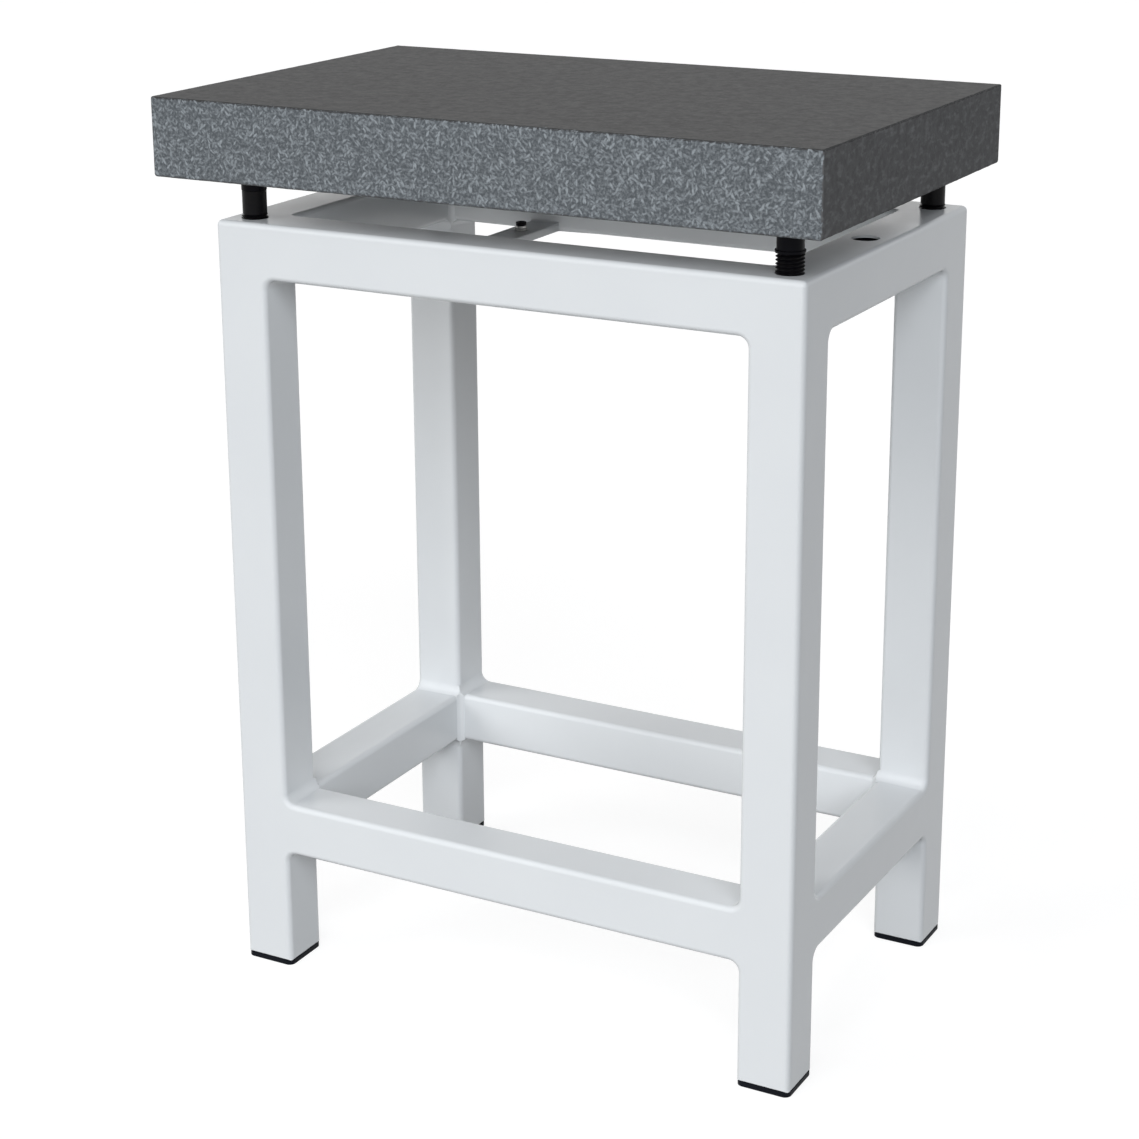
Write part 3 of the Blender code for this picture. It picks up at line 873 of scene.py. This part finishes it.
def hole_radius(screw):
    """The radius of the hole that a CAD screw goes through."""
    low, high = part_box(screw)
    return (high[0] - low[0]) / 2 + HOLE_GAP


def frame_cutters(planes):
    """The hollows of the legs and of the right rail, and the holes in their walls."""
    cutters = []
    stand_top = planes[2][-1]
    for depth, side in CORNERS:
        name = f"{depth}_{side}"
        low, high = (Vector(corner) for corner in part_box(f"leg_{name}"))
        wall = Vector((TUBE_WALL, TUBE_WALL, 0))
        low, high = low + wall, high - wall
        low.z -= OVERRUN
        high.z -= LEG_TOP_WALL
        cutters.append(box_cutter(f"{name}_bore", low, high, EDGE_RADIUS - TUBE_WALL))
        screw = f"levelling_screw_{name}"
        hole = (middle(screw), hole_radius(screw), high.z - OVERRUN, stand_top + OVERRUN)
        cutters.append(round_cutter(f"{name}_hole", *hole))
    low, high = (Vector(corner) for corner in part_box("top_rail_right"))
    rail_bottom = planes[2][RAIL_BOTTOM]
    low = Vector((low.x + TUBE_WALL, low.y + TUBE_WALL, rail_bottom + TUBE_WALL))
    high = Vector((high.x - TUBE_WALL, high.y - TUBE_WALL, stand_top - TUBE_WALL))
    cutters.append(box_cutter("rail_bore", low, high))
    radius = hole_radius("levelling_screw_front_right")
    hole = (middle("bush_spare"), radius, high.z - OVERRUN, stand_top + OVERRUN)
    cutters.append(round_cutter("spare_hole", *hole))
    low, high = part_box("cross_bar")
    hole = (middle("bar_screw"), STUD_RADIUS + HOLE_GAP, low[2] - OVERRUN, high[2] + OVERRUN)
    cutters.append(round_cutter("bar_hole", *hole))
    return cutters


# Turned and threaded pieces


def swept(name, rings, place, closed=False):
    """A turned piece through rings, each a function of the angle that gives radius and height.

    It ends flat, or joins its last ring to its first where it is closed.
    """
    bm = bmesh.new()
    loops = []
    for ring in rings:
        loop = []
        for step in range(THREAD_SIDES):
            angle = 2 * math.pi * step / THREAD_SIDES
            radius, height = ring(angle)
            at = (radius * math.cos(angle), radius * math.sin(angle), height)
            loop.append(bm.verts.new(Vector(at) + place))
        loops.append(loop)
    pairs = list(zip(loops, loops[1:]))
    if closed:
        pairs.append((loops[-1], loops[0]))
    else:
        bm.faces.new(loops[0][::-1])
        bm.faces.new(loops[-1])
    for lower, upper in pairs:
        for step in range(THREAD_SIDES):
            after = (step + 1) % THREAD_SIDES
            bm.faces.new((lower[step], lower[after], upper[after], upper[step]))
    bmesh.ops.recalc_face_normals(bm, faces=bm.faces)
    obj = mesh_object(name, bm)
    obj.data.shade_smooth()
    obj.data.set_sharp_from_angle(angle=math.radians(TURNED_SHARP_ANGLE))
    return obj


def thread_ring(height, radius, limits, inside=False):
    """One ring of a right-hand thread, which fades out towards both ends."""
    low, high = limits

    def ring(angle):
        turn = (height / THREAD_PITCH - angle / (2 * math.pi)) % 1.0
        groove = min(1.0, max(0.0, THREAD_FLANK * (1 - abs(2 * turn - 1)) - THREAD_CREST))
        end = min(1.0, max(0.0, min(height - low, high - height) / ROD_CHAMFER))
        if inside:
            return radius + THREAD_DEPTH * groove * end, height
        chamfer = ROD_CHAMFER * (1 - end) * ROD_CHAMFER_SHARE
        return radius - THREAD_DEPTH * groove - chamfer, height

    return ring


def plain_ring(radius, height):
    """A round, level ring."""
    return lambda angle: (radius, height)


def thread_heights(low, high):
    """The heights of the rings of a thread between two heights."""
    count = int(round((high - low) / THREAD_PITCH * RINGS_PER_PITCH))
    return [low + (high - low) * step / count for step in range(count + 1)]


def arc_rings(radius, height, edge, at_top):
    """The rings, from below, of a rounded edge between a turned piece's side and an end."""
    inward = -edge if at_top else edge
    rings = []
    for step in range(CAP_ARC_STEPS + 1):
        angle = math.pi / 2 * step / CAP_ARC_STEPS
        out = radius - edge * (1 - math.cos(angle))
        rings.append(plain_ring(out, height + inward * (1 - math.sin(angle))))
    return rings if at_top else rings[::-1]


def bearing_cap(depth, side, material):
    """The moulded cap that the plate lies on, hollow over its screw's spigot.

    The one on the long thread has a lip round its foot.
    """
    node = f"bearing_cap_{depth}_{side}"
    low, high = (Vector(corner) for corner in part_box(node))
    place = (low + high) / 2
    place.z = low.z
    top = high.z - low.z
    bore = SPIGOT_RADIUS + CAP_BORE_GAP
    rings = [
        plain_ring(CAP_CORE, SPIGOT_HEIGHT),
        plain_ring(bore, SPIGOT_HEIGHT),
        plain_ring(bore, 0.0),
    ]
    if (depth, side) == LONG_THREAD_CORNER:
        rings += arc_rings(CAP_LIP_RADIUS, 0.0, CAP_LIP_EDGE, at_top=False)
        rings += arc_rings(CAP_LIP_RADIUS, CAP_LIP_HEIGHT, CAP_LIP_EDGE, at_top=True)
        rings.append(plain_ring(CAP_RADIUS, CAP_LIP_HEIGHT))
    else:
        rings += arc_rings(CAP_RADIUS, 0.0, CAP_LIP_EDGE, at_top=False)
    rings += arc_rings(CAP_RADIUS, top, CAP_EDGE, at_top=True)
    rings.append(plain_ring(CAP_CORE, top))
    piece = swept(f"turned_cap_{depth}_{side}", rings, place)
    piece.data.materials.append(material)
    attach(piece, f"cap_{depth}_{side}")
    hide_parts(node)


def levelling_screw(depth, side, material):
    """A levelling screw with its thread and spigot, and the plain neck that three of them have."""
    node = f"levelling_screw_{depth}_{side}"
    stand_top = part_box(f"leg_{depth}_{side}")[1][2]
    low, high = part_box(node)
    place = middle(node)
    place.z = stand_top
    radius = (high[0] - low[0]) / 2
    long_thread = (depth, side) == LONG_THREAD_CORNER
    top = LONG_THREAD_TOP if long_thread else SHORT_THREAD_TOP
    limits = (-SCREW_DEPTH, top)
    rings = [thread_ring(at, radius, limits) for at in thread_heights(*limits)]
    neck_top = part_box(f"bearing_cap_{depth}_{side}")[0][2] - stand_top - HOLE_GAP
    if not long_thread:
        rings.append(plain_ring(NECK_RADIUS, top + HOLE_GAP))
        rings.append(plain_ring(NECK_RADIUS, neck_top))
    rings.append(plain_ring(SPIGOT_RADIUS, neck_top))
    rings.append(plain_ring(SPIGOT_RADIUS, neck_top + SPIGOT_HEIGHT))
    piece = swept(f"threaded_screw_{depth}_{side}", rings, place)
    piece.data.materials.append(material)
    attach(piece, f"screw_{depth}_{side}")
    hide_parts(node)


def threaded_bush(node, material):
    """A bush with its inner thread."""
    low, high = (Vector(corner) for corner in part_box(node))
    outer = (high.x - low.x) / 2
    inner = outer - BUSH_WALL
    limits = (low.z - high.z, 0.0)
    rings = [thread_ring(at, inner, limits, inside=True) for at in thread_heights(*limits)]
    bottom, top = limits
    rings.append(plain_ring(outer - BUSH_CHAMFER, top))
    rings.append(plain_ring(outer, top - BUSH_CHAMFER))
    rings.append(plain_ring(outer, bottom + BUSH_CHAMFER))
    rings.append(plain_ring(outer - BUSH_CHAMFER, bottom))
    place = middle(node)
    place.z = high.z
    piece = swept(f"threaded_{node}", rings, place, closed=True)
    piece.data.materials.append(material)
    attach(piece, "stand")
    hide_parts(node)


# Feet, and the fastener on the cross bar


def foot(depth, side, material):
    """A moulded cap: a sole with a hollow underside, and the ribbed plug inside the leg."""
    node = f"foot_cap_{depth}_{side}"
    low, high = (Vector(corner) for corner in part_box(node))
    half = (high - low) / 2
    ribs = []
    for number in range(FOOT_RIBS):
        rib = SOLE_HEIGHT + FOOT_RIB_PITCH * (number + 1)
        ribs += [
            (FOOT_CORE_INSET, rib),
            (FOOT_RIB_INSET, rib + FOOT_RIB_HEIGHT / 2),
            (FOOT_CORE_INSET, rib + FOOT_RIB_HEIGHT),
        ]
    profile = [
        (SOLE_HOLLOW_INSET + SOLE_HOLLOW, SOLE_HOLLOW),
        (SOLE_HOLLOW_INSET, 0.0),
        (SOLE_EDGE, 0.0),
        (SOLE_EDGE * ROUND_SHARE, SOLE_EDGE * ROUND_SHARE),
        (0.0, SOLE_EDGE),
        (0.0, SOLE_HEIGHT - SOLE_EDGE),
        (SOLE_EDGE * ROUND_SHARE, SOLE_HEIGHT - SOLE_EDGE * ROUND_SHARE),
        (SOLE_EDGE, SOLE_HEIGHT),
        (FOOT_CORE_INSET, SOLE_HEIGHT),
        *ribs,
        (FOOT_CORE_INSET, high.z - SOLE_EDGE),
        (FOOT_CORE_INSET + SOLE_EDGE, high.z),
    ]
    rings = []
    for inset, height in profile:
        inner = half - Vector((inset, inset, 0))
        radius = max(SOLE_RADIUS - inset, SOLE_LEAST)
        outline = rounded_outline(inner, radius, FOOT_CORNER_STEPS)
        rings.append([(at.x, at.y, height) for at, _ in outline])
    place = Vector((low.x + half.x, low.y + half.y, low.z))
    piece = lofted(f"foot_{depth}_{side}", rings, place)
    piece.data.materials.append(material)
    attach(piece, "stand")
    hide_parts(node)


def hexagon(across, height):
    """A six-sided ring, as wide as given between its flats."""
    side = math.pi / 3

    def ring(angle):
        turn = angle % side - side / 2
        return across / 2 / math.cos(turn), height

    return ring


def bar_fastener(oxide, zinc):
    """The low socket-head screw on the cross bar, and the split lock washer under its head."""
    low, high = (Vector(corner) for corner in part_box("bar_screw"))
    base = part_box("bar_washer")[1][2]
    place = middle("bar_screw")
    place.z = base
    radius = (high.x - low.x) / 2
    top = high.z - base
    rings = [
        plain_ring(STUD_RADIUS - HEAD_EDGE, low.z - base),
        plain_ring(STUD_RADIUS, low.z - base + HEAD_EDGE),
        plain_ring(STUD_RADIUS, LOCK_HEIGHT + HOLE_GAP),
        plain_ring(radius - HEAD_EDGE / 2, LOCK_HEIGHT + HOLE_GAP),
        plain_ring(radius, LOCK_HEIGHT + HOLE_GAP + HEAD_EDGE / 2),
        plain_ring(radius, top - HEAD_EDGE),
        plain_ring(radius - HEAD_EDGE * ROUND_SHARE, top - HEAD_EDGE * ROUND_SHARE),
        plain_ring(radius - HEAD_EDGE, top),
        plain_ring(SOCKET_FLATS / 2 + HEAD_EDGE, top),
        hexagon(SOCKET_FLATS, top - HEAD_EDGE / 2),
        hexagon(SOCKET_FLATS, top - SOCKET_DEPTH),
    ]
    screw = swept("socket_screw", rings, place)
    screw.data.materials.append(oxide)
    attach(screw, "stand")
    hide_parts("bar_screw")

    inner, outer = STUD_RADIUS + HOLE_GAP, radius + LOCK_PROUD

    def lock_ring(width, level):
        return lambda angle: (width, level + LOCK_TWIST * (angle / math.pi - 1) / 2)

    low_level, high_level = HOLE_GAP + LOCK_TWIST, LOCK_HEIGHT - LOCK_TWIST
    rings = [
        lock_ring(inner, low_level),
        lock_ring(outer, low_level),
        lock_ring(outer, high_level),
        lock_ring(inner, high_level),
    ]
    washer = swept("lock_washer", rings, place, closed=True)
    washer.data.materials.append(zinc)
    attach(washer, "stand")


# Granite plate


def slab_profile():
    """Each ring's place, as shares of the chamfer from its side and face, and how much it chips."""
    for step in range(CHAMFER_STEPS + 1):
        angle = math.pi / 2 * step / CHAMFER_STEPS
        yield 1 - math.sin(angle), 1 - math.cos(angle), math.sin(2 * angle)


def ragged(place):
    """A coarse noise with a finer one on it."""
    return noise.noise(place) + CHIP_FINE_SHARE * noise.noise(place * CHIP_FINE_SCALE)


def slab_ring(half, profile, face, chamfer, inward):
    """The points of one ring of the slab's edge, with the small chips of ground stone."""
    share, drop, chips = profile
    inset = share * chamfer
    radius = max(UPRIGHT_RADIUS - inset, UPRIGHT_LEAST)
    outline = rounded_outline(half - Vector((inset, inset, 0)), radius, CORNER_STEPS, CHIP_SPACING)
    ring = []
    for place, outward in outline:
        at = Vector((place.x, place.y, face))
        spread = CHAMFER_SPREAD_SHARE * noise.noise(at * CHAMFER_SCALE) * chamfer
        chip = max(0.0, ragged(at * CHIP_SCALE)) * CHIP_DEPTH * chips
        aside = place - outward * (share * spread + chip)
        depth = drop * (chamfer + spread) + chip
        ring.append(Vector((aside.x, aside.y, face + inward * depth)))
    return ring


def granite_slab(material):
    """The plate with narrow ragged chamfers, and a finer one round its lapped face."""
    low, high = (Vector(corner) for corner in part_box("granite_plate"))
    half = (high - low) / 2
    place = Vector((low.x + half.x, low.y + half.y, low.z))
    height = high.z - low.z
    rings = [slab_ring(half, at, 0.0, BOTTOM_CHAMFER, 1) for at in slab_profile()]
    top = [slab_ring(half, at, height, TOP_CHAMFER, -1) for at in slab_profile()]
    hubs = ((0.0, 0.0, 0.0), (0.0, 0.0, height))
    slab = lofted("granite_slab", rings + top[::-1], place, hubs)
    slab.data.materials.append(material)
    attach(slab, "plate")
    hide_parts("granite_plate")


# Room, light and camera


def grey(level):
    """A grey of this brightness, as a colour with its alpha."""
    return (level, level, level, 1.0)


def floor():
    """A pale floor that shows white, and keeps the object's shadow."""
    bm = bmesh.new()
    bmesh.ops.create_circle(bm, cap_ends=True, segments=FLOOR_SIDES, radius=FLOOR_RADIUS)
    plane = mesh_object("floor", bm)
    material = bpy.data.materials.new("floor")
    material.use_nodes = True
    nodes, links = material.node_tree.nodes, material.node_tree.links
    nodes.remove(nodes["Principled BSDF"])
    path = nodes.new("ShaderNodeLightPath")
    seen = nodes.new("ShaderNodeMath")
    seen.operation = "MAXIMUM"
    links.new(path.outputs["Is Camera Ray"], seen.inputs[0])
    links.new(path.outputs["Is Glossy Ray"], seen.inputs[1])
    bounce = nodes.new("ShaderNodeBsdfDiffuse")
    bounce.inputs["Color"].default_value = grey(FLOOR_BOUNCE)
    shown = nodes.new("ShaderNodeBsdfDiffuse")
    shown.inputs["Color"].default_value = grey(FLOOR_SHOWN)
    glow = nodes.new("ShaderNodeEmission")
    glow.inputs["Strength"].default_value = FLOOR_GLOW
    add = nodes.new("ShaderNodeAddShader")
    mix = nodes.new("ShaderNodeMixShader")
    links.new(shown.outputs[0], add.inputs[0])
    links.new(glow.outputs[0], add.inputs[1])
    links.new(seen.outputs[0], mix.inputs[0])
    links.new(bounce.outputs[0], mix.inputs[1])
    links.new(add.outputs[0], mix.inputs[2])
    links.new(mix.outputs[0], nodes["Material Output"].inputs["Surface"])
    plane.data.materials.append(material)
    plane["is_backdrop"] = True


def world():
    """Soft light from above and behind, which the camera and reflections see as white."""
    made = bpy.data.worlds.new("studio")
    bpy.context.scene.world = made
    made.use_nodes = True
    nodes, links = made.node_tree.nodes, made.node_tree.links
    path = nodes.new("ShaderNodeLightPath")
    seen = path.outputs["Is Camera Ray"]
    for kind in ("Is Glossy Ray", "Is Transmission Ray"):
        either = nodes.new("ShaderNodeMath")
        either.operation = "MAXIMUM"
        links.new(seen, either.inputs[0])
        links.new(path.outputs[kind], either.inputs[1])
        seen = either.outputs[0]
    direction = nodes.new("ShaderNodeSeparateXYZ")
    links.new(nodes.new("ShaderNodeTexCoord").outputs["Generated"], direction.inputs[0])
    light = []
    for axis, ends, level in (("Z", SKY_RANGE, SKY_LEVEL), ("Y", REAR_RANGE, REAR_LEVEL)):
        ramp = nodes.new("ShaderNodeMapRange")
        ramp.interpolation_type = "SMOOTHSTEP"
        ramp.inputs["From Min"].default_value, ramp.inputs["From Max"].default_value = ends
        ramp.inputs["To Max"].default_value = level
        links.new(direction.outputs[axis], ramp.inputs["Value"])
        light.append(ramp.outputs[0])
    both = nodes.new("ShaderNodeMath")
    for socket, value in zip(both.inputs, light):
        links.new(value, socket)
    mix = nodes.new("ShaderNodeMix")
    mix.inputs["B"].default_value = 1.0
    links.new(seen, mix.inputs["Factor"])
    links.new(both.outputs[0], mix.inputs["A"])
    links.new(mix.outputs["Result"], nodes["Background"].inputs["Color"])


def suns():
    """Broad soft lamps far away, which light the object but don't show in its gloss."""
    for name, azimuth, elevation, spread, strength, colour in SUNS:
        lamp = bpy.data.lights.new(name, "SUN")
        lamp.energy = strength
        lamp.color = colour
        lamp.angle = math.radians(spread)
        around, up = math.radians(azimuth), math.radians(elevation)
        level = math.cos(up)
        towards = Vector((math.sin(around) * level, -math.cos(around) * level, math.sin(up)))
        sun = link(bpy.data.objects.new(name, lamp))
        sun.rotation_euler = towards.to_track_quat("Z", "Y").to_euler()
        sun.location = towards * SUN_DISTANCE
        sun.visible_glossy = False


def soft_box():
    """A soft box near the front, as bright on all that it faces, whatever the distance."""
    lamp = bpy.data.lights.new("soft_box", "AREA")
    lamp.size = SOFT_BOX_SIZE
    lamp.energy = SOFT_BOX_LEVEL * math.pi
    lamp.use_nodes = True
    nodes, links = lamp.node_tree.nodes, lamp.node_tree.links
    falloff = nodes.new("ShaderNodeLightFalloff")
    falloff.inputs["Strength"].default_value = 1.0
    links.new(falloff.outputs["Constant"], nodes["Emission"].inputs["Strength"])
    box = link(bpy.data.objects.new("soft_box", lamp))
    box.location = SOFT_BOX_PLACE
    towards = Vector(SOFT_BOX_PLACE) - Vector(SOFT_BOX_TARGET)
    box.rotation_euler = towards.to_track_quat("Z", "Y").to_euler()
    box.visible_glossy = False
    box.visible_camera = False


def camera():
    """The camera that the photograph's edges and corners give."""
    data = bpy.data.cameras.new("camera")
    data.sensor_width = SENSOR_MILLIMETRES
    data.lens = CAMERA_FOCAL_PIXELS / PHOTO_SIZE * data.sensor_width
    data.shift_y = CAMERA_SHIFT_Y
    data.clip_start = CAMERA_NEAR
    data.clip_end = CAMERA_FAR
    obj = link(bpy.data.objects.new("camera", data))
    obj.matrix_world = (
        Matrix.Translation(CAMERA_PLACE)
        @ Matrix.Rotation(CAMERA_YAW, 4, "Z")
        @ Matrix.Rotation(math.pi / 2 + CAMERA_PITCH, 4, "X")
        @ Matrix.Rotation(CAMERA_ROLL, 4, "Z")
    )
    bpy.context.scene.camera = obj


def dress(node, material):
    """Gives a CAD node its detailed material."""
    obj = frame["nodes"][node]
    for slot in obj.material_slots:
        slot.material = material


def main():
    """Dresses the part, and puts it in its room."""
    paint = powder_coat()
    oxide = black_oxide()
    zinc = bright_zinc()
    feet = moulded_plastic("foot_plastic", *FOOT_PLASTIC)
    cap_plastic = moulded_plastic("black_plastic", *CAP_PLASTIC)
    welded_frame(paint)
    granite_slab(granite())
    for depth, side in CORNERS:
        levelling_screw(depth, side, oxide)
        threaded_bush(f"bush_{depth}_{side}", oxide)
        foot(depth, side, feet)
        bearing_cap(depth, side, cap_plastic)
    threaded_bush("bush_spare", oxide)
    bar_fastener(oxide, zinc)
    dress("bar_washer", zinc)
    dress("bar_nut", zinc)
    floor()
    world()
    suns()
    soft_box()
    camera()
    bpy.context.scene.view_settings.view_transform = "Standard"


main()
boxes = [[list(map(float, corner)) for corner in box] for box in (CAD_BOX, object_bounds())]
